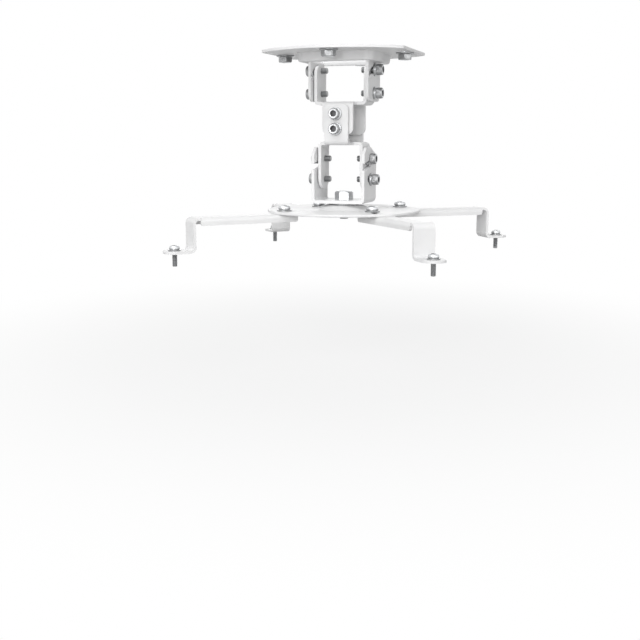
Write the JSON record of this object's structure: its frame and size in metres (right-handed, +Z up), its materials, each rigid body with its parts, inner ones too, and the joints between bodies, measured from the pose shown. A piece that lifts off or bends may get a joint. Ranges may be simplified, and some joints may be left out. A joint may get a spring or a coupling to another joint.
{
  "type": "projector ceiling mount",
  "caption": "White folded-sheet ceiling mount for a projector: pressed ceiling plate, linked tilting yokes, swivelling disc with pinwheel slots, and cranked arms with screw feet.",
  "frame": {"origin": "centre of the ceiling plate's top face, where it meets the ceiling", "axes": "+Z up into the ceiling; the hook mouths of the base bracket open to the front, -Y; +X to the right"},
  "size_m": [0.2284, 0.2197, 0.1635],
  "materials": {
    "white_powder_coat": "satin",
    "zinc_steel": "satin"
  },
  "bodies": {
    "ceiling": {"ceiling_plate": "white_powder_coat", "ceiling_bolts": "zinc_steel"},
    "upper": {"upper_yoke": "white_powder_coat", "tilt_joint_screws": "zinc_steel", "tilt_joint_washers": "zinc_steel", "tilt_joint_lock_washers": "zinc_steel", "tilt_joint_spacers": "zinc_steel", "roll_joint_screws": "zinc_steel", "roll_joint_washers": "zinc_steel", "roll_joint_lock_washers": "zinc_steel", "roll_joint_spacers": "zinc_steel"},
    "lower": {"lower_yoke": "white_powder_coat", "pitch_joint_screws": "zinc_steel", "pitch_joint_washers": "zinc_steel", "pitch_joint_lock_washers": "zinc_steel", "pitch_joint_spacers": "zinc_steel"},
    "bracket": {"base_bracket": "white_powder_coat", "swivel_bolt": "zinc_steel", "swivel_thrust_washer": "zinc_steel", "swivel_nut_washer": "zinc_steel", "swivel_nut": "zinc_steel"},
    "disc": {"spider_disc": "white_powder_coat"},
    "clamp_front_left": {"clamp_screw_front_left": "zinc_steel", "clamp_washer_front_left": "zinc_steel", "clamp_nut_front_left": "zinc_steel"},
    "arm_front_left": {"arm_front_left": "white_powder_coat", "foot_screw_front_left": "zinc_steel", "foot_washer_front_left": "zinc_steel"},
    "clamp_front_right": {"clamp_screw_front_right": "zinc_steel", "clamp_washer_front_right": "zinc_steel", "clamp_nut_front_right": "zinc_steel"},
    "arm_front_right": {"arm_front_right": "white_powder_coat", "foot_screw_front_right": "zinc_steel", "foot_washer_front_right": "zinc_steel"},
    "clamp_rear_right": {"clamp_screw_rear_right": "zinc_steel", "clamp_washer_rear_right": "zinc_steel", "clamp_nut_rear_right": "zinc_steel"},
    "arm_rear_right": {"arm_rear_right": "white_powder_coat", "foot_screw_rear_right": "zinc_steel", "foot_washer_rear_right": "zinc_steel"},
    "clamp_rear_left": {"clamp_screw_rear_left": "zinc_steel", "clamp_washer_rear_left": "zinc_steel", "clamp_nut_rear_left": "zinc_steel"},
    "arm_rear_left": {"arm_rear_left": "white_powder_coat", "foot_screw_rear_left": "zinc_steel", "foot_washer_rear_left": "zinc_steel"}
  },
  "joints": [
    {"name": "ceiling_tilt", "type": "hinge", "parent": "ceiling", "child": "upper", "pos_m": [0, 0, -0.0326], "axis": [1, 0, 0], "range_deg": [0, 42]},
    {"name": "roll", "type": "hinge", "parent": "upper", "child": "lower", "pos_m": [0, 0, -0.0488], "axis": [0, 1, 0], "range_deg": [-8, 8]},
    {"name": "pitch", "type": "hinge", "parent": "lower", "child": "bracket", "pos_m": [0, 0, -0.084], "axis": [1, 0, 0], "range_deg": [-15, 15]},
    {"name": "swivel", "type": "hinge", "parent": "bracket", "child": "disc", "pos_m": [0, 0, -0.1212], "axis": [0, 0, 1], "continuous": true},
    {"name": "clamp_slide_front_left", "type": "slide", "parent": "disc", "child": "clamp_front_left", "axis": [-0.8862, -0.4633, 0], "range_m": [-0.0229, 0]},
    {"name": "arm_turn_front_left", "type": "hinge", "parent": "clamp_front_left", "child": "arm_front_left", "pos_m": [-0.03733, -0.03841, -0.1269], "axis": [0, 0, 1], "range_deg": [-35, 35]},
    {"name": "clamp_slide_front_right", "type": "slide", "parent": "disc", "child": "clamp_front_right", "axis": [0.4633, -0.8862, 0], "range_m": [-0.00779, 0.01511]},
    {"name": "arm_turn_front_right", "type": "hinge", "parent": "clamp_front_right", "child": "arm_front_right", "pos_m": [0.0314, -0.02393, -0.1269], "axis": [0, 0, 1], "range_deg": [-35, 35]},
    {"name": "clamp_slide_rear_right", "type": "slide", "parent": "disc", "child": "clamp_rear_right", "axis": [0.8862, 0.4633, 0], "range_m": [-0.0229, 0]},
    {"name": "arm_turn_rear_right", "type": "hinge", "parent": "clamp_rear_right", "child": "arm_rear_right", "pos_m": [0.03733, 0.03841, -0.1269], "axis": [0, 0, 1], "range_deg": [-35, 35]},
    {"name": "clamp_slide_rear_left", "type": "slide", "parent": "disc", "child": "clamp_rear_left", "axis": [-0.4633, 0.8862, 0], "range_m": [0, 0.0229]},
    {"name": "arm_turn_rear_left", "type": "hinge", "parent": "clamp_rear_left", "child": "arm_rear_left", "pos_m": [-0.0278, 0.01703, -0.1269], "axis": [0, 0, 1], "range_deg": [-35, 35]}
  ]
}
